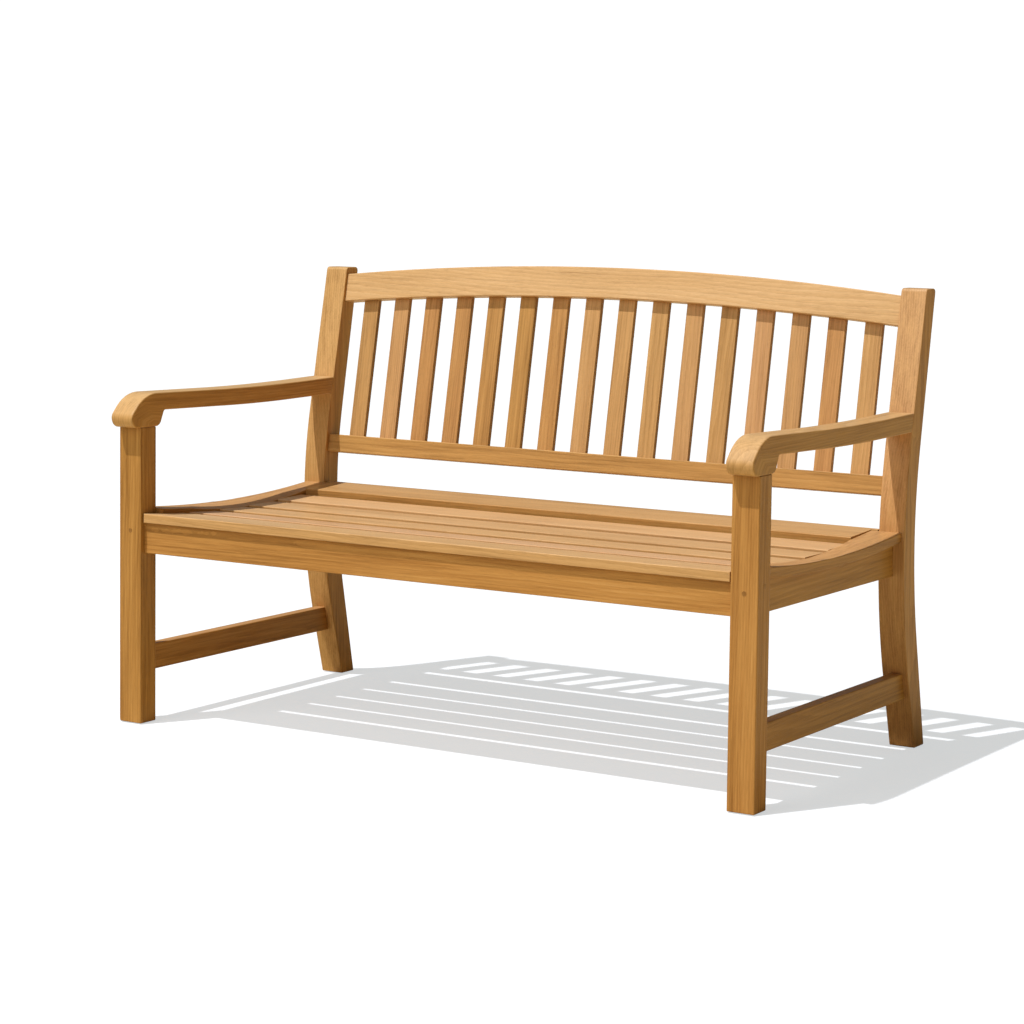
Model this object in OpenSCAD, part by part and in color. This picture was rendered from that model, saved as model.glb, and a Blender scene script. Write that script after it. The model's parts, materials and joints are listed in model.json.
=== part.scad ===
// Garden bench in solid hardwood: mortised, pegged and screwed, free-standing.
// X runs along the bench, the sitter faces -Y, Z is up from the floor.
// Every y below is measured backwards from the front legs' front face.
// The finished bench is then centred on its own depth.

/* [Overall] */
// Length over the outer faces of the legs
bench_w = 1500; // [1440:1:1560]
// Width of every leg and armrest, along the bench
leg_w = 56.5; // [54:0.5:58]
// Thickness of the glides under the feet
glide_h = 2; // [1.5:0.5:4]

/* [Front legs] */
// Depth of the front legs, front to back
front_leg_t = 48; // [46:0.5:50]
// Height of the armrest's underside where it sits on the front leg
arm_z = 622; // [600:1:640]

/* [Rear legs] */
// Front edge of the rear foot
rear_foot_y = 705; // [695:1:712]
// Depth of the rear foot, front to back
rear_foot_t = 45.2; // [42:0.1:48]
// Front edge of the rear post at its top
post_top_y = 713.3; // [700:0.1:725]
// Depth of the rear post at its top
post_top_t = 43.7; // [41:0.1:46]
// Height of the rear post
post_h = 939; // [932:1:946]
// Where the straight stretches of the leg's front edge would meet
front_bend_y = 603.6; // [600:0.1:606]
// Height of that meeting point
front_bend_z = 379; // [370:1:388]
// Where the straight stretches of the leg's rear edge would meet
rear_bend_y = 664; // [660:0.1:668]
// Height of that meeting point
rear_bend_z = 422; // [414:1:430]
// Radius of the bend in both edges of the rear leg
bend_r = 1035; // [950:5:1100]

/* [Armrests] */
// How far the nose reaches past the front leg
nose_reach = 28; // [24:0.5:31]
// Height of the nose at its thickest
nose_h = 71; // [68:0.5:73]
// Height of the armrest's underside above the front leg's top
arm_rise = 33; // [31:0.5:36]

/* [Seat] */
// Lowest height of the dished seat end boards
seat_z = 436.5; // [433:0.5:439]
// Where that lowest point lies
dish_y = 335; // [320:1:350]
// Radius of the dish
dish_r = 2900; // [2700:10:3200]
// Thickness of the slats and end boards
seat_t = 19; // [18:0.5:20]
// Front edge of the front slat
front_slat_y = 4; // [2:0.5:8]
// Depth of the front slat
front_slat_w = 110; // [106:1:112]
// Height of the front slat's top at its front edge
front_slat_z = 443.5; // [441:0.5:446]
// How far the front slat falls towards the back
front_slat_fall = 8; // [6:0.1:9]
// Front edge of the first middle slat
mid_slat_y = 134; // [132:1:136]
// Depth of each middle slat
mid_slat_w = 85; // [82:1:87]
// Gap between middle slats
mid_slat_gap = 16; // [14:0.5:17]
// How far the first middle slat lies below the end boards
mid_slat_drop = 9; // [8:0.5:10]
// How much less that is for each slat behind it
mid_slat_step = 1; // [0.5:0.1:1.5]
// How far each middle slat is tipped up at the front and down at the back
mid_slat_lean = 0.7; // [0:0.1:1]
// Front edge of the rear slat
rear_slat_y = 538; // [535:1:541]
// Depth of the rear slat
rear_slat_w = 112; // [108:1:114]
// Height of the rear slat's top at its front edge
rear_slat_z = 447.6; // [446:0.1:449]
// How far the rear slat climbs towards the back
rear_slat_rise = 6.3; // [5:0.1:7]
// Width of the seat end boards
end_board_w = 67; // [64:1:70]
// How far the end boards' tops fall towards the slats at the lowest point of the dish
end_board_fall = 8; // [6:0.5:9]
// How far the end boards stand back from the legs' outer faces
end_board_inset = 7; // [5:0.5:9]

/* [Rails] */
// Thickness of the front and side seat rails
rail_t = 28; // [26:0.5:30]
// Lower edge of the seat rails
rail_z = 360; // [357:1:362]
// How far the front rail stands back from the legs' front face
front_rail_y = 12; // [10:0.5:14]
// How far the side rails stand back from the legs' outer face
side_rail_inset = 24; // [22:0.5:26]
// Front face of the rear seat rail
rear_rail_y = 634; // [633:0.5:635]
// Thickness of the rear seat rail
rear_rail_t = 25; // [24:0.5:27]
// Lower edge of the side stretchers
stretcher_z = 106; // [100:1:115]
// Height of the side stretchers
stretcher_h = 54; // [50:1:60]
// Thickness of the side stretchers
stretcher_t = 25; // [22:0.5:28]
// How far the side stretchers stand back from the legs' outer face
stretcher_inset = 12.5; // [11:0.5:14]
// Thickness of the slat bearers under the seat ends
bearer_t = 42; // [38:1:44]
// Lower edge of those bearers
bearer_z = 384; // [380:1:386]

/* [Back] */
// Front face of the lower back rail at half its height
back_y = 647; // [645:0.5:649]
// Half height of the lower back rail above the floor
back_z = 542; // [535:1:548]
// Backward tilt of the back frame, degrees
back_tilt = 10.4; // [10:0.1:11]
// Thickness of both back rails
back_rail_t = 32; // [31:0.5:34]
// Height of the lower back rail
low_rail_h = 39.6; // [36:0.2:44]
// Up the back from the lower rail's middle to the top rail's underside, at its ends
top_rail_v = 325.3; // [322:0.1:328]
// Height of the top rail at its ends
top_rail_h = 62.7; // [59:0.1:64]
// How much the top rail's underside is arched
under_arch = 32.1; // [24:0.1:34]
// How much the top rail's crown is arched
crown_arch = 36.4; // [30:0.1:40]
// Number of upright slats in the back
back_slats = 16; // [16:1:16]
// Width of each back slat
back_slat_w = 40; // [37:0.5:43]
// Thickness of each back slat
back_slat_t = 11; // [10:0.5:12]
// How far the back slats stand behind the rails' front face
back_slat_inset = 16; // [14:0.5:17]

/* [Joints and fixings] */
// Thickness of the tenons on rails and stretchers
tenon_t = 10; // [9:0.5:11]
// Depth of the long tenons in the legs
tenon_l = 41; // [38:0.5:42]
// Depth of the stub tenons on the back slats
stub_l = 15; // [12:0.5:16]
// Clearance around a tenon in its mortise
fit = 0.2; // [0.1:0.05:0.3]
// Diameter of the joint pegs
peg_d = 9; // [8:0.5:9.5]
// How far a peg stands proud of the leg
peg_proud = 0.4; // [0.2:0.1:1]
// Diameter of the seat screws' shank
screw_d = 4.2; // [4:0.1:4.5]
// Diameter of the screws' head
screw_head_d = 8; // [7.5:0.1:8.5]

/* [Hidden] */

// Wood and metal colours
oak = [0.76, 0.55, 0.33];
oak_light = [0.83, 0.62, 0.40];
oak_dark = [0.62, 0.42, 0.24];
steel = [0.70, 0.70, 0.68];
nylon = [0.12, 0.11, 0.10];

// Greatest distance between a round outline and the chords that draw it
chord_error = 0.08;
// A little extra on a cut, so that it breaks the surface cleanly
over = 1;
// Round holes, pegs and screws
$fn = 48;

// Faces along the bench, on the right-hand side
outer_x = bench_w/2;
inner_x = outer_x - leg_w;
mid_x = outer_x - leg_w/2;
end_board_x = outer_x - end_board_inset;
slat_end_x = end_board_x - end_board_w;
side_rail_x = outer_x - side_rail_inset;
bearer_x = side_rail_x - rail_t;
stretcher_x = outer_x - stretcher_inset;

// Small gap between boards that only lie side by side
board_gap = 0.5;
// Half length of the scoop in the end boards' inner edge, and how deep it just touches the outer edge
scoop_half = 200;
scoop_low = 0.3;
// How far the tool for that scoop reaches past the board, and how far it stands above the seat
scoop_reach = 15;
scoop_top = 80;
// Gap between the legs and the ends of the front and rear slats
ear_gap = 4;
// Radius of the rounded edges at the ends of the legs
foot_r = 2.5;
top_r = 8;

// One corner of an outline [y, z, radius] as the points of a tangent arc
function unit(v) = v/norm(v);
function arc_step(r) = 2*acos(1 - chord_error/max(r, 1));
function turn(from, to) = (to - from + 540) % 360 - 180;
function corner(c, i) =
    let (
        n = len(c),
        p = [c[i][0], c[i][1]],
        back = unit([c[(i + n - 1) % n][0], c[(i + n - 1) % n][1]] - p),
        ahead = unit([c[(i + 1) % n][0], c[(i + 1) % n][1]] - p),
        r = c[i][2],
        half = acos(back*ahead)/2
    )
    r == 0 ? [p] :
    let (
        centre = p + unit(back + ahead)*r/sin(half),
        first = p + back*r/tan(half) - centre,
        last = p + ahead*r/tan(half) - centre,
        start = atan2(first[1], first[0]),
        sweep = turn(start, atan2(last[1], last[0])),
        steps = max(1, ceil(abs(sweep)/arc_step(r)))
    )
    [for (k = [0:steps]) centre + r*[cos(start + sweep*k/steps), sin(start + sweep*k/steps)]];
function rounded(c) = [for (i = [0:len(c) - 1]) each corner(c, i)];

// Side outline of the rear leg
rear_leg_outline = rounded([
    [rear_foot_y, glide_h, foot_r],
    [front_bend_y, front_bend_z, bend_r],
    [post_top_y, post_h, top_r],
    [post_top_y + post_top_t, post_h, top_r],
    [rear_bend_y, rear_bend_z, bend_r],
    [rear_foot_y + rear_foot_t, glide_h, foot_r]
]);

// Side outline of the armrest: the nose, a faintly hollow top and a thinner rear
arm_top = arm_z + nose_h;
arm_under = arm_z + arm_rise;
arm_outline = rounded([
    [-nose_reach, arm_z, 20],
    [-nose_reach, arm_z + 26.5, 15],
    [-nose_reach + 40, arm_top, 85],
    [410, arm_top - 9, 7500],
    [690, arm_top - 1.5, 0],
    [690, arm_under - 2, 0],
    [390, arm_under - 7.5, 6000],
    [75, arm_under, 7],
    [61, arm_z, 16]
]);

// The bench is centred on its depth, between arm nose and post top
depth_lo = min([for (p = arm_outline) p[0]]);
depth_hi = max([for (p = rear_leg_outline) p[0]]);
depth_mid = (depth_lo + depth_hi)/2;

// Height of the end boards' top
function dish(y) = seat_z + dish_r - sqrt(dish_r*dish_r - (y - dish_y)*(y - dish_y));

// Seat slats, front to back: [front y, rear y, top z at the front, top z at the rear]
mid_slats = 4;
function mid_slat(i) =
    let (
        y = mid_slat_y + i*(mid_slat_w + mid_slat_gap),
        drop = mid_slat_drop - i*mid_slat_step
    )
    [y, y + mid_slat_w, dish(y) - drop + mid_slat_lean, dish(y + mid_slat_w) - drop - mid_slat_lean];
slats = concat(
    [[front_slat_y, front_slat_y + front_slat_w, front_slat_z, front_slat_z - front_slat_fall]],
    [for (i = [0:mid_slats - 1]) mid_slat(i)],
    [[rear_slat_y, rear_slat_y + rear_slat_w, rear_slat_z, rear_slat_z + rear_slat_rise]]
);
function slat_under(s, y) = s[2] + (s[3] - s[2])*(y - s[0])/(s[1] - s[0]) - seat_t;

// Tenons of front and side rails share one leg: one runs low, the other's tongue runs high
tenon_lo = rail_z + 6;
tenon_split = rail_z + 52;
tongue_hi = rail_z + 66;
front_tenon_y = front_rail_y + (rail_t - tenon_t)/2;
side_tenon_x = side_rail_x - (rail_t + tenon_t)/2;
rear_tenon_y = rear_rail_y + (rear_rail_t - tenon_t)/2;
rear_leg_y = rear_rail_y - 2;

// Peg heights, and how far back the side pegs stand
low_peg_z = tenon_split - 5.5;
high_peg_z = (tenon_split + tongue_hi)/2;
side_peg_y = 27;

// Back frame: v runs up the back from the lower rail's middle
low_rail_v = low_rail_h/2;
top_slat_v = top_rail_v + under_arch + 8;
function arch(x, rise) = rise*(1 - x*x/(inner_x*inner_x));
arch_steps = 32;
arch_x = [for (k = [0:arch_steps]) inner_x*(2*k/arch_steps - 1)];
back_pitch = (2*inner_x - back_slats*back_slat_w)/(back_slats + 1) + back_slat_w;
function back_slat_x(i) = (i - (back_slats + 1)/2)*back_pitch;

// Seat screws: two in each slat at each bearer
screw_bite = 11;
screw_wood = 12;
screw_head_h = 3;
screw_x = [-slat_end_x + 10, slat_end_x - 10];
screw_margin = 12;
screw_y = [for (s = slats) each [
    max(s[0] + (s[1] - s[0])/4, front_leg_t + screw_margin),
    min(s[1] - (s[1] - s[0])/4, rear_leg_y - screw_margin)
]];
function screw_top(i) = slat_under(slats[floor(i/2)], screw_y[i]);
// Bearer screws: one below each gap between seat slats
bearer_screw_y = [for (i = [0:mid_slats]) (slats[i][1] + slats[i + 1][0])/2];
bearer_screw_z = bearer_z + 12;
// Dowels between the side rails and the end boards
dowel_d = 8;
dowel_l = 22;
dowel_y = [150, 335, 520];

// ---- helpers ----

// A box given by its lowest and highest corners, grown on every side
module block(lo, hi, grow = 0) {
    translate(lo - grow*[1, 1, 1]) cube(hi - lo + 2*grow*[1, 1, 1]);
}

// A side outline (y, z) given thickness along X
module along_x(x0, x1) {
    translate([x0, 0, 0]) rotate([90, 0, 90]) linear_extrude(x1 - x0) children();
}

// Moves the bench's own frame to its centre, on the right (1) or mirrored to the left (-1)
module place(side = 1) {
    translate([0, -depth_mid, 0]) mirror([side < 0 ? 1 : 0, 0, 0]) children();
}

// The leaning frame of the back: X along the bench, Y into the back, Z up the slope
module in_back() {
    translate([0, back_y, back_z]) rotate([-back_tilt, 0, 0]) children();
}

// A front outline (x, v) in the back frame, from depth w0 to w1
module along_w(w0, w1) {
    translate([0, w1, 0]) rotate([90, 0, 0]) linear_extrude(w1 - w0) children();
}

module both_sides() {
    children();
    mirror([1, 0, 0]) children();
}

// ---- outlines ----

module rear_leg_face() {
    polygon(rear_leg_outline);
}

module top_rail_face() {
    crown = top_rail_v + top_rail_h;
    polygon(concat(
        [for (x = arch_x) [x, top_rail_v + arch(x, under_arch)]],
        [for (i = [arch_steps:-1:0]) [arch_x[i], crown + arch(arch_x[i], crown_arch)]]
    ));
}

// A board that follows the dish, from the front leg to the rear leg
module dished_face(bottom, top) {
    steps = 24;
    y0 = front_leg_t;
    y1 = rear_rail_y + 10;
    ys = [for (k = [0:steps]) y0 + (y1 - y0)*k/steps];
    difference() {
        polygon(concat(
            [for (y = ys) [y, dish(y) - top]],
            bottom > 0 ? [[y1, bottom], [y0, bottom]]
                : [for (k = [steps:-1:0]) [ys[k], dish(ys[k]) - seat_t]]
        ));
        rear_leg_face();
    }
}

// A bearer under the slats: its top follows their undersides
module bearer_face(y0, y1, bottom) {
    last = len(slats) - 1;
    polygon(concat(
        [[y0, bottom], [y0, slat_under(slats[0], y0)], [slats[0][1], slats[0][3] - seat_t]],
        [for (i = [1:last - 1]) each [
            [slats[i][0], slats[i][2] - seat_t],
            [slats[i][1], slats[i][3] - seat_t]
        ]],
        [[slats[last][0], slats[last][2] - seat_t], [y1, slat_under(slats[last], y1)], [y1, bottom]]
    ));
}

// ---- tenons, on the right-hand side; grow > 0 gives the mortise ----

module front_rail_tenon(grow = 0) {
    block([inner_x - over, front_tenon_y, tenon_lo],
        [inner_x + tenon_l, front_tenon_y + tenon_t, tenon_split], grow);
}

module rear_rail_tenon(grow = 0) {
    block([inner_x - over, rear_tenon_y, tenon_lo],
        [inner_x + tenon_l, rear_tenon_y + tenon_t, tenon_split], grow);
}

module side_rail_front_tenon(grow = 0) {
    block([side_tenon_x, front_tenon_y + tenon_t + 3, tenon_lo],
        [side_tenon_x + tenon_t, front_leg_t + over, tongue_hi], grow);
    block([side_tenon_x, front_rail_y + 4, tenon_split + 1],
        [side_tenon_x + tenon_t, front_leg_t + over, tongue_hi], grow);
}

module side_rail_rear_tenon(grow = 0) {
    block([side_tenon_x, rear_leg_y - 8, tenon_lo],
        [side_tenon_x + tenon_t, rear_tenon_y - 1, tongue_hi], grow);
    block([side_tenon_x, rear_leg_y - 8, tenon_split + 1],
        [side_tenon_x + tenon_t, rear_leg_y + 34, tongue_hi], grow);
}

module stretcher_tenon(y0, y1, grow = 0) {
    x = stretcher_x - (stretcher_t + tenon_t)/2;
    block([x, y0, stretcher_z + 8], [x + tenon_t, y1, stretcher_z + stretcher_h - 8], grow);
}
stretcher_front = [18, front_leg_t + over];
stretcher_rear = [rear_foot_y - 50, rear_foot_y - 5];

module arm_front_tenon(grow = 0) {
    block([mid_x - 15, 14, arm_z - over], [mid_x + 15, 34, arm_z + 30], grow);
}

module arm_rear_tenon(grow = 0) {
    block([mid_x - 8, 640, arm_under + 4.5], [mid_x + 8, 690, arm_under + 26], grow);
}

module back_rail_tenon(v0, v1, grow = 0) {
    w = (back_rail_t - tenon_t)/2;
    block([inner_x - over, w, v0], [inner_x + 36, w + tenon_t, v1], grow);
}
low_tenon = [-low_rail_v + 6, low_rail_v - 6];
top_tenon = [top_rail_v + 8, top_rail_v + top_rail_h - 8];

module back_slat_tenons(i, grow = 0) {
    x = back_slat_x(i);
    w = back_slat_inset + 2;
    block([x - back_slat_w/2 + 6, w, low_rail_v - stub_l],
        [x + back_slat_w/2 - 6, w + back_slat_t - 4, top_rail_v + arch(x, under_arch) + stub_l], grow);
}

// ---- pegs, dowels and screws ----

// The two pegs in each front leg, one from the front and one from the side
module front_pegs(d, proud = 0) {
    translate([mid_x, -proud, low_peg_z]) rotate([-90, 0, 0]) cylinder(d = d, h = 38 + proud);
    translate([outer_x + proud, side_peg_y, high_peg_z]) rotate([0, -90, 0]) cylinder(d = d, h = 46 + proud);
}

// The three pegs driven into each rear leg from behind
module rear_pegs(d) {
    translate([mid_x, rear_rail_y + 3, tenon_split - 20]) rotate([-90, 0, 0]) cylinder(d = d, h = 80);
    in_back() for (v = [0, top_rail_v + top_rail_h/2])
        translate([inner_x + 20, 3, v]) rotate([-90, 0, 0]) cylinder(d = d, h = 80);
}

module dowels(d, slack = 0) {
    for (y = dowel_y)
        translate([side_rail_x - rail_t/2, y, dish(y) - seat_t - dowel_l/2 - slack])
            cylinder(d = d, h = dowel_l + 2*slack);
}

module screw(shank_l, bore = false) {
    slack = bore ? 0.1 : 0;
    translate([0, 0, -slack]) cylinder(d = screw_d + slack, h = shank_l + 2*slack);
    translate([0, 0, bore ? -80 : -screw_head_h])
        cylinder(d = screw_head_d + (bore ? 1 : 0), h = bore ? 80 : screw_head_h);
}

module seat_screw_row(x, bore = false) {
    for (i = [0:len(screw_y) - 1])
        translate([x, screw_y[i], screw_top(i) - screw_wood]) screw(screw_wood + screw_bite, bore);
}

module bearer_screw_row(bore = false) {
    for (y = bearer_screw_y)
        translate([bearer_x - 26, y, bearer_screw_z]) rotate([0, 90, 0]) screw(46, bore);
}

// ---- sub-parts ----

module front_leg(side) {
    color(oak) place(side) difference() {
        union() {
            along_x(inner_x, outer_x) polygon(rounded([
                [0, glide_h, foot_r],
                [0, arm_z, 0],
                [front_leg_t, arm_z, 0],
                [front_leg_t, glide_h, foot_r]
            ]));
            arm_front_tenon();
        }
        front_rail_tenon(fit);
        side_rail_front_tenon(fit);
        stretcher_tenon(stretcher_front[0], stretcher_front[1], fit);
        front_pegs(peg_d + fit/2, over);
        glide_pin(front_glide_y, fit/2);
    }
}

module rear_leg(side) {
    color(oak) place(side) difference() {
        along_x(inner_x, outer_x) rear_leg_face();
        rear_rail_tenon(fit);
        side_rail_rear_tenon(fit);
        stretcher_tenon(stretcher_rear[0], stretcher_rear[1], fit);
        arm_rear_tenon(fit);
        in_back() back_rail_tenon(low_tenon[0], low_tenon[1], fit);
        in_back() back_rail_tenon(top_tenon[0], top_tenon[1], fit);
        rear_pegs(peg_d + fit/2);
        glide_pin(rear_glide_y, fit/2);
    }
}

module armrest(side) {
    color(oak_light) place(side) difference() {
        union() {
            along_x(inner_x, outer_x) difference() {
                polygon(arm_outline);
                rear_leg_face();
            }
            arm_rear_tenon();
        }
        arm_front_tenon(fit);
    }
}

module front_seat_rail() {
    s = slats[0];
    y0 = front_rail_y;
    y1 = y0 + rail_t;
    color(oak) place() difference() {
        union() {
            along_x(-inner_x, inner_x) polygon([
                [y0, rail_z], [y1, rail_z], [y1, slat_under(s, y1)], [y0, slat_under(s, y0)]
            ]);
            both_sides() front_rail_tenon();
        }
        both_sides() front_pegs(peg_d + fit/2, over);
    }
}

module rear_seat_rail() {
    s = slats[len(slats) - 1];
    y0 = rear_rail_y;
    y1 = y0 + rear_rail_t;
    color(oak) place() difference() {
        union() {
            along_x(-inner_x, inner_x) polygon([
                [y0, rail_z], [y1, rail_z], [y1, slat_under(s, y1)], [y0, slat_under(s, y0)]
            ]);
            both_sides() rear_rail_tenon();
        }
        both_sides() rear_pegs(peg_d + fit/2);
    }
}

module side_seat_rail(side) {
    color(oak) place(side) difference() {
        union() {
            along_x(bearer_x, side_rail_x) dished_face(rail_z + 2, seat_t);
            side_rail_front_tenon();
            side_rail_rear_tenon();
        }
        front_pegs(peg_d + fit/2, over);
        dowels(dowel_d + fit/2, over);
        bearer_screw_row(true);
    }
}

module side_stretcher(side) {
    z1 = stretcher_z + stretcher_h;
    y1 = rear_foot_y - 30;
    color(oak) place(side) {
        along_x(stretcher_x - stretcher_t, stretcher_x) difference() {
            polygon([[front_leg_t, stretcher_z], [y1, stretcher_z], [y1, z1], [front_leg_t, z1]]);
            rear_leg_face();
        }
        stretcher_tenon(stretcher_front[0], stretcher_front[1]);
        stretcher_tenon(stretcher_rear[0], stretcher_rear[1]);
    }
}

// What is scooped off an end board's inner edge, so that its top falls to the middle slats
module end_board_scoop() {
    steps = 24;
    y0 = front_leg_t - scoop_reach;
    y1 = rear_rail_y + scoop_reach;
    ys = [for (k = [0:steps]) y0 + (y1 - y0)*k/steps];
    translate([end_board_x, 0, seat_z]) rotate([0, -asin(end_board_fall/end_board_w), 0])
        translate([-end_board_x, 0, -seat_z]) along_x(slat_end_x - scoop_reach, end_board_x + scoop_reach)
            polygon(concat(
                [for (y = ys) [y, dish(y) - scoop_low + end_board_fall*pow((y - dish_y)/scoop_half, 2)]],
                [[y1, seat_z + scoop_top], [y0, seat_z + scoop_top]]
            ));
}

module seat_end_board(side) {
    color(oak_light) place(side) difference() {
        along_x(slat_end_x, end_board_x) dished_face(0, 0);
        end_board_scoop();
        dowels(dowel_d + fit/2, over);
    }
}

// A seat slat: its plan is cut out of a tilted board and bored from below
module seat_slat(i) {
    s = slats[i];
    last = len(slats) - 1;
    half = slat_end_x - board_gap;
    ear = inner_x - ear_gap;
    color(oak_light) place() difference() {
        along_x(-ear, ear) polygon([
            [s[0], s[2] - seat_t], [s[1], s[3] - seat_t], [s[1], s[3]], [s[0], s[2]]
        ]);
        both_sides() block(
            [half, i == 0 ? front_leg_t : s[0] - over, s[2] - 60],
            [ear + over, i == last ? rear_rail_y : s[1] + over, s[2] + 60]
        );
        for (x = screw_x) seat_screw_row(x, true);
    }
}

module slat_bearer(side) {
    color(oak_dark) place(side) difference() {
        along_x(bearer_x - bearer_t, bearer_x) bearer_face(front_leg_t, rear_leg_y - 3, bearer_z);
        along_x(slat_end_x - board_gap, bearer_x + over) dished_face(0, 0);
        seat_screw_row(screw_x[1], true);
        bearer_screw_row(true);
    }
}

module back_top_rail() {
    color(oak) place() difference() {
        in_back() difference() {
            union() {
                along_w(0, back_rail_t) top_rail_face();
                both_sides() back_rail_tenon(top_tenon[0], top_tenon[1]);
            }
            for (i = [1:back_slats]) back_slat_tenons(i, fit);
        }
        both_sides() rear_pegs(peg_d + fit/2);
    }
}

module back_bottom_rail() {
    color(oak) place() difference() {
        in_back() difference() {
            union() {
                block([-inner_x, 0, -low_rail_v], [inner_x, back_rail_t, low_rail_v]);
                both_sides() back_rail_tenon(low_tenon[0], low_tenon[1]);
            }
            for (i = [1:back_slats]) back_slat_tenons(i, fit);
        }
        both_sides() rear_pegs(peg_d + fit/2);
    }
}

module back_slat(i) {
    x = back_slat_x(i) - back_slat_w/2;
    color(oak) place() in_back() {
        along_w(back_slat_inset, back_slat_inset + back_slat_t) difference() {
            translate([x, low_rail_v]) square([back_slat_w, top_slat_v - low_rail_v]);
            top_rail_face();
        }
        back_slat_tenons(i);
    }
}

module joint_pegs() {
    color(oak_dark) place() both_sides() {
        front_pegs(peg_d, peg_proud);
        intersection() {
            rear_pegs(peg_d);
            translate([0, peg_proud, 0]) along_x(inner_x, outer_x) rear_leg_face();
        }
    }
}

module end_board_dowels() {
    color(oak_light) place() both_sides() dowels(dowel_d);
}

module seat_screws() {
    color(steel) place() for (x = screw_x) seat_screw_row(x);
}

module bearer_screws() {
    color(steel) place() both_sides() bearer_screw_row();
}

// Glides: a thin pad with a short pin up into the foot
front_glide_y = [0, front_leg_t];
rear_glide_y = [rear_foot_y, rear_foot_y + rear_foot_t];
glide_inset = 9;

module glide_pin(ys, slack = 0) {
    translate([mid_x, (ys[0] + ys[1])/2, glide_h - over]) cylinder(d = 4 + 2*slack, h = 12 + over + slack);
}

module foot_glide(side, ys) {
    color(nylon) place(side) {
        linear_extrude(glide_h) polygon(rounded([
            [inner_x + glide_inset, ys[0] + glide_inset, foot_r],
            [outer_x - glide_inset, ys[0] + glide_inset, foot_r],
            [outer_x - glide_inset, ys[1] - glide_inset, foot_r],
            [inner_x + glide_inset, ys[1] - glide_inset, foot_r]
        ]));
        glide_pin(ys);
    }
}

front_leg(-1);  // front_leg_left
front_leg(1);  // front_leg_right
rear_leg(-1);  // rear_leg_left
rear_leg(1);  // rear_leg_right
armrest(-1);  // armrest_left
armrest(1);  // armrest_right
front_seat_rail();
rear_seat_rail();
side_seat_rail(-1);  // side_seat_rail_left
side_seat_rail(1);  // side_seat_rail_right
side_stretcher(-1);  // side_stretcher_left
side_stretcher(1);  // side_stretcher_right
seat_end_board(-1);  // seat_end_board_left
seat_end_board(1);  // seat_end_board_right
seat_slat(0);  // seat_slat_1
seat_slat(1);  // seat_slat_2
seat_slat(2);  // seat_slat_3
seat_slat(3);  // seat_slat_4
seat_slat(4);  // seat_slat_5
seat_slat(5);  // seat_slat_6
slat_bearer(-1);  // slat_bearer_left
slat_bearer(1);  // slat_bearer_right
back_top_rail();
back_bottom_rail();
back_slat(1);  // back_slat_01
back_slat(2);  // back_slat_02
back_slat(3);  // back_slat_03
back_slat(4);  // back_slat_04
back_slat(5);  // back_slat_05
back_slat(6);  // back_slat_06
back_slat(7);  // back_slat_07
back_slat(8);  // back_slat_08
back_slat(9);  // back_slat_09
back_slat(10);  // back_slat_10
back_slat(11);  // back_slat_11
back_slat(12);  // back_slat_12
back_slat(13);  // back_slat_13
back_slat(14);  // back_slat_14
back_slat(15);  // back_slat_15
back_slat(16);  // back_slat_16
joint_pegs();
end_board_dowels();
seat_screws();
bearer_screws();
foot_glide(-1, front_glide_y);  // foot_glide_front_left
foot_glide(1, front_glide_y);  // foot_glide_front_right
foot_glide(-1, rear_glide_y);  // foot_glide_rear_left
foot_glide(1, rear_glide_y);  // foot_glide_rear_right
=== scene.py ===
"""Garden bench: every CAD piece is rebuilt with eased edges and a procedural wood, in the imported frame."""

import json
import math
import random

import bmesh
import bpy
import numpy as np
from mathutils import Matrix, Vector


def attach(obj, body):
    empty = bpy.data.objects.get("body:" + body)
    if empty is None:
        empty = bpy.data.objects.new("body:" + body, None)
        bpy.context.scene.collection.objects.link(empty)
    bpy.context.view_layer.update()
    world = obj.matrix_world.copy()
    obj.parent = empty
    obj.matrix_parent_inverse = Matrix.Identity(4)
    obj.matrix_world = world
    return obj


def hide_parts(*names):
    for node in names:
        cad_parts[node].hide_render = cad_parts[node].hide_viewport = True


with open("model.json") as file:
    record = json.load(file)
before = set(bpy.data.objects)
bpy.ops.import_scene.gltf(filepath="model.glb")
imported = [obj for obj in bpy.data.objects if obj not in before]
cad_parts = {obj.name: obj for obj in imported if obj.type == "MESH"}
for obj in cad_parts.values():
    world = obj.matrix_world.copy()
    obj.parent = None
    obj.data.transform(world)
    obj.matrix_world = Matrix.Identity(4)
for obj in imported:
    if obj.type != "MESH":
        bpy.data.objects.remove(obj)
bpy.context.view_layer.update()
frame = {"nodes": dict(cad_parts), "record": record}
rng = random.Random(20)

# Grain runs along X, Y or Z of the frame, or up the leaning back
BACK_TILT = math.radians(10.4)
ALONG_X = Vector((1, 0, 0))
ALONG_Y = Vector((0, 1, 0))
ALONG_Z = Vector((0, 0, 1))
UP_BACK = Vector((0, math.sin(BACK_TILT), math.cos(BACK_TILT)))


# ---------------------------------------------------------------- node helpers

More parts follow.
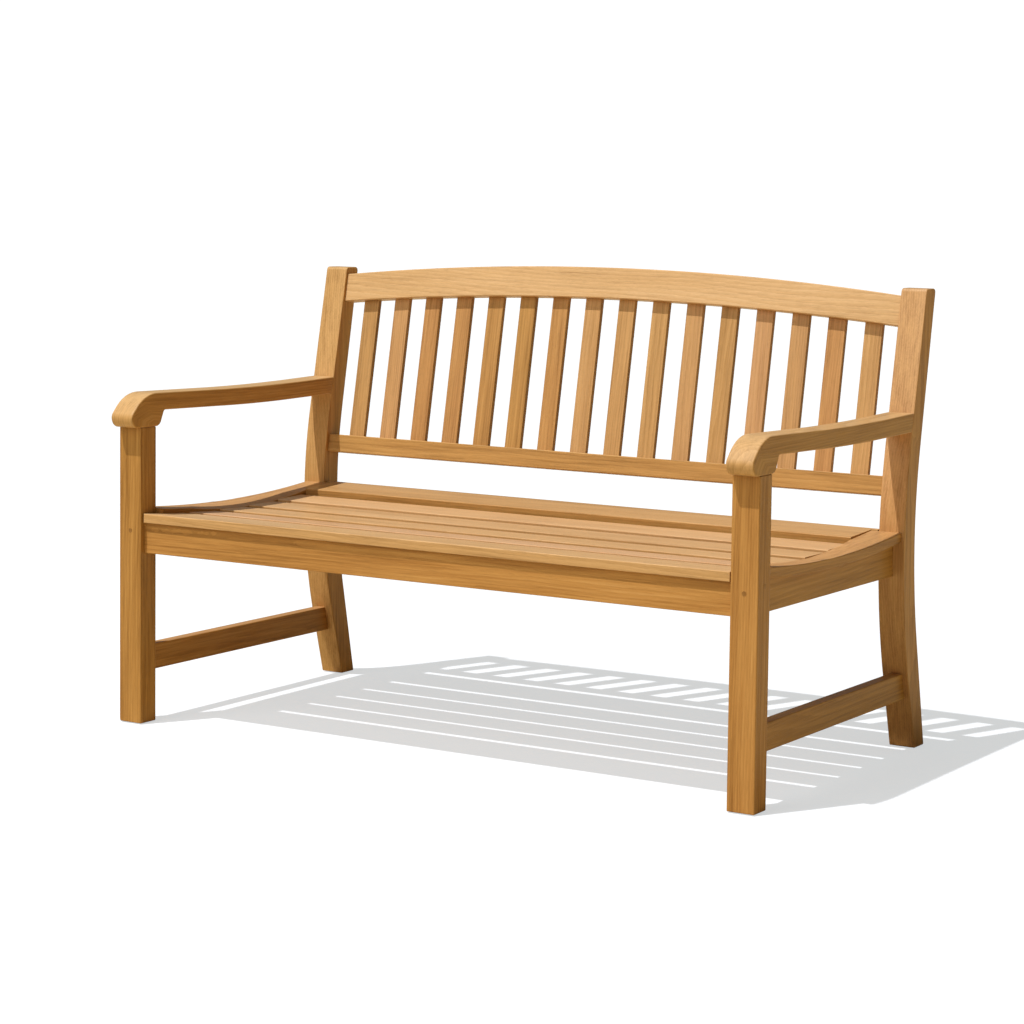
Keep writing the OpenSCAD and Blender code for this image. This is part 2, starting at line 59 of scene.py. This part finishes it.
class Tree:
    """Short calls for building a material's or world's node tree."""

    def __init__(self, tree):
        self.tree = tree
        tree.nodes.clear()

    def node(self, kind, inputs=None, **settings):
        made = self.tree.nodes.new(kind)
        for name, value in settings.items():
            setattr(made, name, value)
        for name, value in (inputs or {}).items():
            self.put(made.inputs[name], value)
        return made

    def put(self, socket, value):
        if isinstance(value, bpy.types.NodeSocket):
            self.tree.links.new(value, socket)
        else:
            socket.default_value = value

    def attribute(self, name, output="Fac"):
        return self.node("ShaderNodeAttribute", attribute_name=name).outputs[output]

    def math(self, operation, a, b):
        made = self.node("ShaderNodeMath", {0: a, 1: b}, operation=operation)
        return made.outputs[0]

    def vector(self, operation, a, b):
        made = self.node("ShaderNodeVectorMath", {0: a, 1: b}, operation=operation)
        return made.outputs[0]

    def total(self, *parts):
        """The sum of (value, share) pairs."""
        shares = [self.math("MULTIPLY", value, share) for value, share in parts]
        added = shares[0]
        for share in shares[1:]:
            added = self.math("ADD", added, share)
        return added

    def near_one(self, value, spread):
        return self.math("ADD", 1.0, self.math("MULTIPLY", value, spread))

    def triple(self, x, y, z):
        return self.node("ShaderNodeCombineXYZ", {"X": x, "Y": y, "Z": z}).outputs[0]

    def mix(self, factor, a, b, blend="MIX"):
        """Mixes two colours. Sockets 6 and 7, and output 2, are the node's colour ones."""
        made = self.node("ShaderNodeMix", {"Factor": factor, 6: a, 7: b}, data_type="RGBA", blend_type=blend)
        return made.outputs[2]

    def remap(self, value, low, high, to_low=0.0, to_high=1.0):
        made = self.node("ShaderNodeMapRange", {
            "Value": value, "From Min": low, "From Max": high, "To Min": to_low, "To Max": to_high})
        return made.outputs[0]

    def ramp(self, factor, places, colours):
        made = self.node("ShaderNodeValToRGB", {"Fac": factor})
        band = made.color_ramp
        while len(band.elements) < len(colours):
            band.elements.new(0.5)
        for element, place, colour in zip(band.elements, places, colours):
            element.position = place
            element.color = opaque(colour)
        return made.outputs[0]

    def noise(self, vector, seed, scale=1.0, detail=3.0, rough=0.5):
        made = self.node("ShaderNodeTexNoise", {
            "Vector": vector, "W": seed, "Scale": scale, "Detail": detail, "Roughness": rough},
            noise_dimensions="4D")
        return made.outputs["Fac"]

    def surface(self, shader):
        self.node("ShaderNodeOutputMaterial", {"Surface": shader.outputs[0]})


def opaque(colour):
    return (*colour, 1)


def new_material(name):
    material = bpy.data.materials.new(name)
    material.use_nodes = True
    return material, Tree(material.node_tree)


# ---------------------------------------------------------------- materials

# Layers of the grain, in cycles per metre along the board and across it
WANDER = (1.6, 7.0)
BROAD = (1.1, 16.0)
STREAK = (3.5, 120.0)
FIBRE = (14.0, 900.0)
PORE = (45.0, 2600.0)
# Growth rings round the pith, and how far the grain wanders off them, in metres
RING_SCALE = 60.0
WANDER_REACH = 0.03
# How much each layer has to say in how light the wood is
STREAK_SHARE = 0.45
BROAD_SHARE = 0.28
FIBRE_SHARE = 0.17
RING_SHARE = 0.10
# At which of those levels the four colours of a wood lie
COLOUR_LEVELS = (0.36, 0.47, 0.56, 0.68)
# Fibres are a little lighter or darker than their streak, and pores are dark specks
FIBRE_SHADE = (0.90, 1.08)
PORE_LEVELS = (0.60, 0.72)
PORE_DEPTH = 0.38
PORE_SHADE = 0.35
# Boards differ: lighter or darker, pinker or yellower
TONE_STEP = 0.10
WARM_RED = 0.03
WARM_BLUE = 0.12
# End grain soaks up more oil and is darker, and the same darkening paints shade on the sides of the back
# slats; handled edges are rubbed paler
END_AND_SHADE_TINT = (0.50, 0.44, 0.38)
END_AND_SHADE_DEPTH = 0.45
RUBBED = (0.10, 0.40)
# Roughness of pores and rubbed edges, and the height of the grain
PORE_ROUGH = 0.2
WORN_SMOOTH = 0.08
GRAIN_HEIGHT = 0.0004
GRAIN_BUMP = 0.35
OILED_SPECULAR = 0.15


def wood(name, deep, bleached, roughness=0.42):
    """Oiled hardwood, from dark to pale. The mesh's attributes say how each spot of a board differs, painted
    light and shade included.
    """
    material, t = new_material(name)
    grain = t.attribute("grain", "Vector")
    seed, tone, warmth = t.node("ShaderNodeSeparateXYZ", {"Vector": t.attribute("board", "Vector")}).outputs
    bleach = t.attribute("bleach")
    wear = t.attribute("wear")
    end_grain_and_shade = t.attribute("end_grain_and_shade")

    def stretched(layer):
        along, across = layer
        return t.vector("MULTIPLY", grain, (along, across, across))

    # The grain wanders a little, so that growth rings make arches and long waves
    drift = t.noise(stretched(WANDER), seed, detail=2.0).node.outputs["Color"]
    bend = t.vector("MULTIPLY", t.vector("SUBTRACT", drift, (0.5, 0.5, 0.5)), (WANDER_REACH,) * 3)
    rings = t.node("ShaderNodeTexWave", {
        "Vector": t.vector("ADD", grain, bend), "Scale": RING_SCALE, "Distortion": 1.2, "Detail": 2.0,
        "Detail Scale": 1.0}, wave_type="RINGS", rings_direction="X", wave_profile="SAW").outputs["Fac"]

    broad = t.noise(stretched(BROAD), seed, detail=2.0)
    streak = t.noise(stretched(STREAK), seed, detail=4.0, rough=0.62)
    fibre = t.noise(stretched(FIBRE), seed, detail=3.0, rough=0.6)
    pores = t.remap(t.noise(stretched(PORE), seed, detail=1.0), *PORE_LEVELS)

    level = t.total(
        (streak, STREAK_SHARE), (broad, BROAD_SHARE), (fibre, FIBRE_SHARE), (rings, RING_SHARE))
    # Each board's bleaching, plus painted light on upward and high faces and painted shade on the sides,
    # mixes the deep colours towards the pale, lit ones
    colour = t.mix(bleach, t.ramp(level, COLOUR_LEVELS, deep), t.ramp(level, COLOUR_LEVELS, bleached))
    fine = t.remap(fibre, 0.3, 0.7, *FIBRE_SHADE)
    colour = t.mix(1.0, colour, t.triple(fine, fine, fine), "MULTIPLY")
    pore_colour = [PORE_SHADE * channel for channel in deep[0]]
    colour = t.mix(t.math("MULTIPLY", pores, PORE_DEPTH), colour, opaque(pore_colour))

    lift = t.near_one(tone, TONE_STEP)
    red = t.math("MULTIPLY", lift, t.near_one(warmth, WARM_RED))
    blue = t.math("MULTIPLY", lift, t.near_one(warmth, WARM_BLUE))
    colour = t.mix(1.0, colour, t.triple(red, lift, blue), "MULTIPLY")

    # Darker end grain, and painted shade on the sides of the back slats
    colour = t.mix(t.math("MULTIPLY", end_grain_and_shade, END_AND_SHADE_DEPTH), colour, opaque(END_AND_SHADE_TINT), "MULTIPLY")
    rubbed = t.math("MULTIPLY", wear, t.remap(streak, 0.35, 0.65, *RUBBED))
    colour = t.mix(rubbed, colour, opaque(deep[-1]))

    rough = t.remap(fibre, 0.25, 0.75, roughness - 0.07, roughness + 0.09)
    rough = t.math("ADD", rough, t.math("MULTIPLY", pores, PORE_ROUGH))
    rough = t.math("SUBTRACT", rough, t.math("MULTIPLY", wear, WORN_SMOOTH))

    height = t.total((fibre, 0.5), (streak, 0.5), (pores, -0.6))
    bump = t.node("ShaderNodeBump", {"Height": height, "Strength": GRAIN_BUMP, "Distance": GRAIN_HEIGHT})
    t.surface(t.node("ShaderNodeBsdfPrincipled", {
        "Base Color": colour, "Roughness": rough, "Normal": bump.outputs[0],
        "Specular IOR Level": OILED_SPECULAR}))
    return material


STEEL_COLOURS = ((0.42, 0.41, 0.39), (0.62, 0.61, 0.58))
NYLON_COLOURS = ((0.022, 0.020, 0.018), (0.055, 0.050, 0.045))


def steel(name):
    """Dull screw steel with fine spots."""
    material, t = new_material(name)
    place = t.node("ShaderNodeTexCoord").outputs["Object"]
    spots = t.noise(place, 0.3, scale=900.0)
    t.surface(t.node("ShaderNodeBsdfPrincipled", {
        "Base Color": t.ramp(spots, (0.3, 0.7), STEEL_COLOURS),
        "Roughness": t.remap(spots, 0.3, 0.7, 0.28, 0.45), "Metallic": 1.0}))
    return material


def nylon(name):
    """Dark moulded nylon, grained and scuffed."""
    material, t = new_material(name)
    place = t.node("ShaderNodeTexCoord").outputs["Object"]
    spots = t.noise(place, 0.7, scale=700.0, detail=4.0)
    scuffs = t.noise(place, 1.7, scale=90.0)
    bump = t.node("ShaderNodeBump", {"Height": spots, "Strength": 0.3, "Distance": 0.0002})
    t.surface(t.node("ShaderNodeBsdfPrincipled", {
        "Base Color": t.ramp(scuffs, (0.35, 0.75), NYLON_COLOURS),
        "Roughness": t.remap(scuffs, 0.3, 0.7, 0.5, 0.7), "Normal": bump.outputs[0]}))
    return material


# Dark, mid, light and pale streaks of the wood: under deep oil; bleached by the sun and painted lit, for
# bleached boards and for the painted light on upward and high faces; and in the pegs
DEEP = ((0.25, 0.100, 0.015), (0.37, 0.155, 0.027), (0.46, 0.205, 0.040), (0.58, 0.300, 0.085))
BLEACHED_AND_LIT = ((0.44, 0.245, 0.100), (0.60, 0.370, 0.180), (0.70, 0.450, 0.235), (0.80, 0.560, 0.330))
PEG_DEEP = ((0.20, 0.082, 0.014), (0.29, 0.125, 0.025), (0.36, 0.160, 0.036), (0.46, 0.240, 0.070))
MATERIALS = {
    "wood_frame": wood("oiled_wood_frame", DEEP, BLEACHED_AND_LIT),
    "wood_slats": wood("oiled_wood_slats", DEEP, BLEACHED_AND_LIT, roughness=0.40),
    "wood_hidden": wood("bare_wood", DEEP, BLEACHED_AND_LIT, roughness=0.6),
    "wood_pegs": wood("peg_wood", PEG_DEEP, DEEP),
    "screw_steel": steel("stainless_steel"),
    "glide_nylon": nylon("dark_nylon"),
}


# ---------------------------------------------------------------- round fixings, whose holes stay sharp

# CAD points closer than this are taken as one
WELD = 2e-6
# A point counts as on a fixing's hole up to this far outside the fixing, and up to this far past its ends
HOLE_MARGIN = 0.0012
HOLE_REACH = 0.04


def solids_of(mesh):
    """The points of each separate solid in a mesh."""
    bm = bmesh.new()
    bm.from_mesh(mesh)
    bmesh.ops.remove_doubles(bm, verts=bm.verts, dist=WELD)
    left = set(bm.verts)
    found = []
    while left:
        to_visit = [left.pop()]
        points = []
        while to_visit:
            vertex = to_visit.pop()
            points.append(vertex.co.copy())
            neighbours = {edge.other_vert(vertex) for edge in vertex.link_edges} & left
            left -= neighbours
            to_visit.extend(neighbours)
        found.append(np.array(points))
    bm.free()
    return found


def fixing_lines():
    """(middle, direction, half length, radius) of every peg, dowel and screw."""
    lines = []
    for node in ("joint_pegs", "end_board_dowels", "seat_screws", "bearer_screws"):
        for points in solids_of(frame["nodes"][node].data):
            middle = (points.min(0) + points.max(0)) / 2
            spread = points - middle
            direction = np.linalg.svd(spread, full_matrices=False)[2][0]
            along = spread @ direction
            radius = np.linalg.norm(spread - np.outer(along, direction), axis=1).max()
            lines.append((middle, direction, np.abs(along).max(), radius))
    return lines


FIXINGS = fixing_lines()


def at_fixings(points):
    """Which of the points lie on a peg, dowel or screw, or at the rim of its hole."""
    near = np.zeros(len(points), bool)
    for middle, direction, half, radius in FIXINGS:
        offset = points - middle
        along = offset @ direction
        off = np.linalg.norm(offset - np.outer(along, direction), axis=1)
        near |= (np.abs(along) < half + HOLE_REACH) & (off < radius + HOLE_MARGIN)
    return near


# ---------------------------------------------------------------- eased copies of the CAD nodes

FLAT = math.radians(0.3)
SHARP = math.radians(30)
# A long upper edge is over this long, and one of its two faces has a normal whose Z is over FACES_UP
LONG_EDGE = 0.02
FACES_UP = 0.9
# The end of a board is a face whose normal has over this share of its length along the grain
FACES_END = 0.95
EASE_SEGMENTS = 3
FLATS_WEIGHT = 100


def cleaned(node):
    """The CAD node's mesh, welded and with its flat faces whole again."""
    bm = bmesh.new()
    bm.from_mesh(frame["nodes"][node].data)
    bmesh.ops.remove_doubles(bm, verts=bm.verts, dist=WELD)
    bmesh.ops.dissolve_limit(bm, angle_limit=FLAT, verts=bm.verts, edges=bm.edges)
    return bm


def edge_width(edge, ease, top_ease, axis, butt_ease):
    """How wide a sharp edge is rounded."""
    width = ease
    faces_up = sum(face.normal.z > FACES_UP for face in edge.link_faces)
    if top_ease and edge.calc_length() > LONG_EDGE and faces_up == 1:
        width = top_ease
    if butt_ease and any(abs(face.normal.dot(axis)) > FACES_END for face in edge.link_faces):
        width = butt_ease
    return width


def eased(node, name, ease, top_ease=None, axis=None, butt_ease=None):
    """A copy of a CAD node with its sharp edges rounded. top_ease is for the long upper edges, and
    butt_ease for the rims of the faces across axis, where the board meets another."""
    bm = cleaned(node)
    weight = bm.edges.layers.float.new("bevel_weight_edge")
    widest = max(ease, top_ease or 0)
    bm.verts.index_update()
    at_hole = at_fixings(np.array([vertex.co for vertex in bm.verts]))
    for edge in bm.edges:
        if not edge.is_manifold or edge.calc_face_angle() < SHARP:
            continue
        edge.smooth = False
        if edge.is_convex and not all(at_hole[vertex.index] for vertex in edge.verts):
            edge[weight] = edge_width(edge, ease, top_ease, axis, butt_ease) / widest
    mesh = bpy.data.meshes.new(name)
    bm.to_mesh(mesh)
    bm.free()
    for polygon in mesh.polygons:
        polygon.use_smooth = True
    piece = bpy.data.objects.new(name, mesh)
    bpy.context.scene.collection.objects.link(piece)
    bevel = piece.modifiers.new("ease", "BEVEL")
    bevel.limit_method = "WEIGHT"
    bevel.width = widest
    bevel.segments = EASE_SEGMENTS
    bevel.use_clamp_overlap = False
    bevel.miter_outer = "MITER_ARC"
    normals = piece.modifiers.new("flats", "WEIGHTED_NORMAL")
    normals.keep_sharp = True
    normals.weight = FLATS_WEIGHT
    bake_modifiers(piece)
    return piece


def bake_modifiers(piece):
    depsgraph = bpy.context.evaluated_depsgraph_get()
    baked = bpy.data.meshes.new_from_object(
        piece.evaluated_get(depsgraph), preserve_all_data_layers=True, depsgraph=depsgraph)
    piece.modifiers.clear()
    piece.data = baked


# ---------------------------------------------------------------- what the wood needs to know of each board

# How far a board's grain may lean off its length, sideways and up
LEAN_ASIDE = 0.025
LEAN_UP = 0.02
# Where the pith lies: anywhere along the board, close to its middle, and some way above or below it
PITH_ALONG = 3.0
PITH_ASIDE = 0.03
PITH_AWAY = (0.05, 0.14)
NOSE_SQUEEZE = 0.12
SEED_RANGE = 60.0
TONE_SPREAD = 0.4
# End grain fades in from END_FROM to END_FROM + END_OVER, as a face turns across the grain
END_FROM = 0.5
END_OVER = 0.4
# Painted light: on top of each board's own bleaching, faces that point up and the high parts most are
# painted paler, as if lit by the sun, and sides facing along X keep a painted shade
UP_PAINTED_LIGHT = 0.4
HIGH_PAINTED_LIGHT = 0.3
PAINTED_LIGHT_FROM = 0.44
PAINTED_LIGHT_RISE = 0.40
SIDE_SHADE = 0.8
# Edges of the mesh shorter than this belong to its rounded edges
WEAR_EDGE = 0.0025


def either_way(reach):
    return rng.uniform(-reach, reach)


def write(mesh, name, kind, domain, values):
    attribute = mesh.attributes.new(name, kind, domain)
    target = "vector" if kind == "FLOAT_VECTOR" else "value"
    attribute.data.foreach_set(target, values.astype(np.float32).ravel())


def grain_places(places, axis, flat, nose):
    """The places as (along the grain, across it, up), measured from the pith. Over a nose of the given
    length, the growth lines follow the curve instead of showing as end grain."""
    side = axis.orthogonal().normalized() if flat is None else axis.cross(flat).normalized()
    up = side.cross(axis).normalized()
    lean = Vector((1, either_way(LEAN_ASIDE), either_way(LEAN_UP))).normalized()
    turn = lean.rotation_difference(Vector((1, 0, 0))).to_matrix()
    to_grain = np.array(turn @ Matrix((axis, side, up)))
    pith_along = either_way(PITH_ALONG)
    pith_aside = either_way(PITH_ASIDE)
    pith_away = rng.choice((-1, 1)) * rng.uniform(*PITH_AWAY)
    from_middle = places - (places.min(0) + places.max(0)) / 2
    if nose:
        from_front = places[:, 1] - places[:, 1].min()
        from_middle[:, 2] *= np.clip(from_front / nose, NOSE_SQUEEZE, 1.0)
    return from_middle @ to_grain.T + np.array([pith_along, pith_aside, pith_away])


def add_grain(piece, axis, flat=None, tone=0.0, bleach=0.0, nose=None, dark_sides=0.0):
    """Writes what the wood material reads: the grain along axis, the board's own seed, tone and warmth, and
    its end grain, bleaching and wear, with painted light on upward and high faces and painted shade on sides
    along X. flat is the normal of the face that shows the widest rings, and the side share paints shade on
    the narrow sides of a board that face along X."""
    mesh = piece.data
    places = np.array([vertex.co for vertex in mesh.vertices], float)
    write(mesh, "grain", "FLOAT_VECTOR", "POINT", grain_places(places, axis, flat, nose))
    board_look = np.array([rng.uniform(0, SEED_RANGE), tone + either_way(1) * TONE_SPREAD, either_way(1)])
    write(mesh, "board", "FLOAT_VECTOR", "POINT", np.tile(board_look, len(places)))

    normals = np.array([polygon.normal for polygon in mesh.polygons])
    # Faces that point along X, which get painted shade
    side_shade_mask = np.clip(np.abs(normals[:, 0]) * 2 - 1, 0, 1)
    across = np.abs(normals @ np.array(axis))
    soaked = np.zeros(len(across)) if nose else np.clip((across - END_FROM) / END_OVER, 0, 1)
    # End grain is darker, and the narrow sides of some boards get the same darkening as painted shade
    write(mesh, "end_grain_and_shade", "FLOAT", "FACE", np.maximum(soaked, dark_sides * side_shade_mask))

    centres = np.array([polygon.center for polygon in mesh.polygons])
    # Painted light: paler the higher the face and the more it faces up; painted shade: faces along X get
    # little of it
    high = np.clip((centres[:, 2] - PAINTED_LIGHT_FROM) / PAINTED_LIGHT_RISE, 0, 1)
    sun = bleach + UP_PAINTED_LIGHT * np.clip(normals[:, 2], 0, 1) + HIGH_PAINTED_LIGHT * high
    write(mesh, "bleach", "FLOAT", "FACE", np.clip(sun * (1 - SIDE_SHADE * side_shade_mask), 0, 1))

    wear = np.zeros(len(places))
    for edge in mesh.edges:
        first, second = edge.vertices
        if np.linalg.norm(places[first] - places[second]) < WEAR_EDGE:
            wear[first] = wear[second] = 1.0
    write(mesh, "wear", "FLOAT", "POINT", wear)


# ---------------------------------------------------------------- pieces

# Radius of the rounded edges
LEG_EASE = 0.0018
ARM_EASE = 0.0028
RAIL_EASE = 0.0015
TOP_RAIL_EASE = 0.002
BEARER_EASE = 0.001
SLAT_EASE = 0.001
SLAT_TOP_EASE = 0.0018
BUTT_EASE = 0.0004
FIXING_EASE = 0.0006
GLIDE_EASE = 0.0008
# Length of an armrest's rounded front end
NOSE = 0.06
# How bleached each seat slat is, from the front, and which back slats are paler
SEAT_SLAT_BLEACH = (0.60, 0.60, 0.45, 0.50, 0.50, 0.15)
BACK_SLAT_BLEACH = 0.25
PALE_BACK_SLATS = (1, 2, 8, 9, 10, 11, 12, 13, 14, 16)
BACK_SLATS = 16
SIDES = ("left", "right")

SLOT_OF = {part["node"]: part["material_slot"] for part in frame["record"]["subparts"]}


def finish_piece(piece, node):
    slot = SLOT_OF[node]
    piece.data.materials.clear()
    piece.data.materials.append(MATERIALS[slot])
    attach(piece, "root")
    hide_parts(node)


def board(node, axis, ease, top_ease=None, butt=True, **look):
    """A wooden board, with the look that add_grain takes: butt is False where its ends are free."""
    piece = eased(node, node + "_wood", ease, top_ease, axis, BUTT_EASE if butt else None)
    add_grain(piece, axis, **look)
    finish_piece(piece, node)


def build_sides():
    for side in SIDES:
        board("front_leg_" + side, ALONG_Z, LEG_EASE, butt=False, bleach=0.05, tone=-0.5)
        board("rear_leg_" + side, ALONG_Z, LEG_EASE, butt=False, flat=ALONG_X, bleach=0.35, tone=1.0)
        board("armrest_" + side, ALONG_Y, ARM_EASE, butt=False, bleach=0.30, tone=0.3, nose=NOSE)
        board("side_seat_rail_" + side, ALONG_Y, RAIL_EASE)
        board("side_stretcher_" + side, ALONG_Y, LEG_EASE)
        board("slat_bearer_" + side, ALONG_Y, BEARER_EASE)


def build_seat():
    board("front_seat_rail", ALONG_X, RAIL_EASE, bleach=0.05, tone=0.6)
    board("rear_seat_rail", ALONG_X, LEG_EASE)
    for side in SIDES:
        board("seat_end_board_" + side, ALONG_Y, RAIL_EASE, tone=-0.3)
    for number, bleach in enumerate(SEAT_SLAT_BLEACH, 1):
        board(f"seat_slat_{number}", ALONG_X, SLAT_EASE, SLAT_TOP_EASE, bleach=bleach)


def build_back():
    board("back_top_rail", ALONG_X, TOP_RAIL_EASE, bleach=0.9, tone=0.6)
    board("back_bottom_rail", ALONG_X, LEG_EASE, bleach=0.15, tone=0.5)
    for number in range(1, BACK_SLATS + 1):
        bleach = BACK_SLAT_BLEACH if number in PALE_BACK_SLATS else 0.0
        # The sides of the back slats get painted shade
        board(f"back_slat_{number:02d}", UP_BACK, SLAT_EASE, bleach=bleach, dark_sides=0.9)


def build_fixings():
    for node, axis in (("joint_pegs", ALONG_Y), ("end_board_dowels", ALONG_Z)):
        piece = eased(node, node + "_wood", FIXING_EASE)
        add_grain(piece, axis)
        finish_piece(piece, node)
    for node in ("seat_screws", "bearer_screws"):
        finish_piece(eased(node, node + "_metal", FIXING_EASE), node)


def build_glides():
    for end in ("front_left", "front_right", "rear_left", "rear_right"):
        node = "foot_glide_" + end
        finish_piece(eased(node, node + "_pad", GLIDE_EASE), node)


build_sides()
build_seat()
build_back()
build_fixings()
build_glides()


# ---------------------------------------------------------------- stage

FLOOR_HALF = 40.0
# What the camera sees of the floor, which is lit a little by itself, and what the floor throws on the bench
FLOOR_COLOUR = (0.41, 0.41, 0.41)
FLOOR_GLOW_COLOUR = (0.95, 0.985, 1.0)
FLOOR_GLOW = 0.59
BOUNCE_COLOUR = (0.67, 0.60, 0.40)
# The light of the room round the bench, and the white that the camera sees behind it
ROOM_COLOUR = (1.0, 0.96, 0.88)
ROOM_LIGHT = 0.18
BACKDROP = 1.1
SUN_POWER = 3.6
SUN_WIDTH = math.radians(0.7)
SUN_COLOUR = (0.925, 0.95, 1.0)
SUN_DIRECTION = Vector((0.20, 0.34, -0.92))
SOFTBOX_POWER = 65.0
SOFTBOX_SIZE = 3.0
SOFTBOX_PLACE = Vector((-1.2, -3.8, 3.2))
SOFTBOX_AIM = Vector((0, 0, 0.5))
# The camera stands in front and to the right, and looks slightly down
CAMERA_PLACE = Vector((2.98759, -4.66947, 1.16039))
CAMERA_YAW = math.radians(30.4670)
CAMERA_PITCH = math.radians(4.55656)
CAMERA_ROLL = math.radians(0.86918)
CAMERA_LENS = 95.22
CAMERA_SENSOR = 36.0
CAMERA_SHIFT = (-0.1055, -0.1191)
CAMERA_REACH = 200.0


def stand(name, data):
    """An object with the given data, in the scene."""
    made = bpy.data.objects.new(name, data)
    bpy.context.scene.collection.objects.link(made)
    return made


def build_floor():
    """A white sweep: the camera sees it bright with a pale shadow, and it lights the bench a little less."""
    mesh = bpy.data.meshes.new("floor")
    corners = [(x * FLOOR_HALF, y * FLOOR_HALF, 0) for x, y in ((-1, -1), (1, -1), (1, 1), (-1, 1))]
    mesh.from_pydata(corners, [], [(0, 1, 2, 3)])
    material, t = new_material("pale_floor")
    seen = t.node("ShaderNodeBsdfPrincipled", {
        "Base Color": opaque(FLOOR_COLOUR), "Roughness": 0.9, "Specular IOR Level": 0.0,
        "Emission Color": opaque(FLOOR_GLOW_COLOUR), "Emission Strength": FLOOR_GLOW})
    bounce = t.node("ShaderNodeBsdfDiffuse", {"Color": opaque(BOUNCE_COLOUR)})
    by_camera = t.node("ShaderNodeLightPath").outputs["Is Camera Ray"]
    t.surface(t.node("ShaderNodeMixShader", {0: by_camera, 1: bounce.outputs[0], 2: seen.outputs[0]}))
    mesh.materials.append(material)
    stand("floor", mesh)


def build_world():
    world = bpy.data.worlds.new("studio")
    bpy.context.scene.world = world
    world.use_nodes = True
    t = Tree(world.node_tree)
    room = t.node("ShaderNodeBackground", {"Color": opaque(ROOM_COLOUR), "Strength": ROOM_LIGHT})
    white = t.node("ShaderNodeBackground", {"Color": (1, 1, 1, 1), "Strength": BACKDROP})
    by_camera = t.node("ShaderNodeLightPath").outputs["Is Camera Ray"]
    mixed = t.node("ShaderNodeMixShader", {0: by_camera, 1: room.outputs[0], 2: white.outputs[0]})
    t.node("ShaderNodeOutputWorld", {"Surface": mixed.outputs[0]})


def aim(lamp, direction):
    lamp.rotation_mode = "QUATERNION"
    lamp.rotation_quaternion = direction.to_track_quat("-Z", "Y")


def build_lights():
    sun = bpy.data.lights.new("key", "SUN")
    sun.energy = SUN_POWER
    sun.angle = SUN_WIDTH
    sun.color = SUN_COLOUR
    aim(stand("key", sun), SUN_DIRECTION)

    soft = bpy.data.lights.new("front_softbox", "AREA")
    soft.size = SOFTBOX_SIZE
    soft.energy = SOFTBOX_POWER
    fill = stand("front_softbox", soft)
    fill.location = SOFTBOX_PLACE
    aim(fill, SOFTBOX_AIM - SOFTBOX_PLACE)


def build_camera():
    level = Vector((-math.sin(CAMERA_YAW), math.cos(CAMERA_YAW), 0))
    right = Vector((math.cos(CAMERA_YAW), math.sin(CAMERA_YAW), 0))
    forward = math.cos(CAMERA_PITCH) * level - math.sin(CAMERA_PITCH) * ALONG_Z
    up = right.cross(forward)
    across = math.cos(CAMERA_ROLL) * right + math.sin(CAMERA_ROLL) * up
    upright = math.cos(CAMERA_ROLL) * up - math.sin(CAMERA_ROLL) * right
    camera = bpy.data.cameras.new("camera")
    camera.lens = CAMERA_LENS
    camera.sensor_width = CAMERA_SENSOR
    camera.shift_x, camera.shift_y = CAMERA_SHIFT
    camera.clip_end = CAMERA_REACH
    holder = stand("camera", camera)
    turn = Matrix((across, upright, -forward)).transposed().to_4x4()
    holder.matrix_world = Matrix.Translation(CAMERA_PLACE) @ turn
    bpy.context.scene.camera = holder


build_floor()
build_world()
build_lights()
build_camera()
bpy.context.scene.view_settings.view_transform = "Standard"
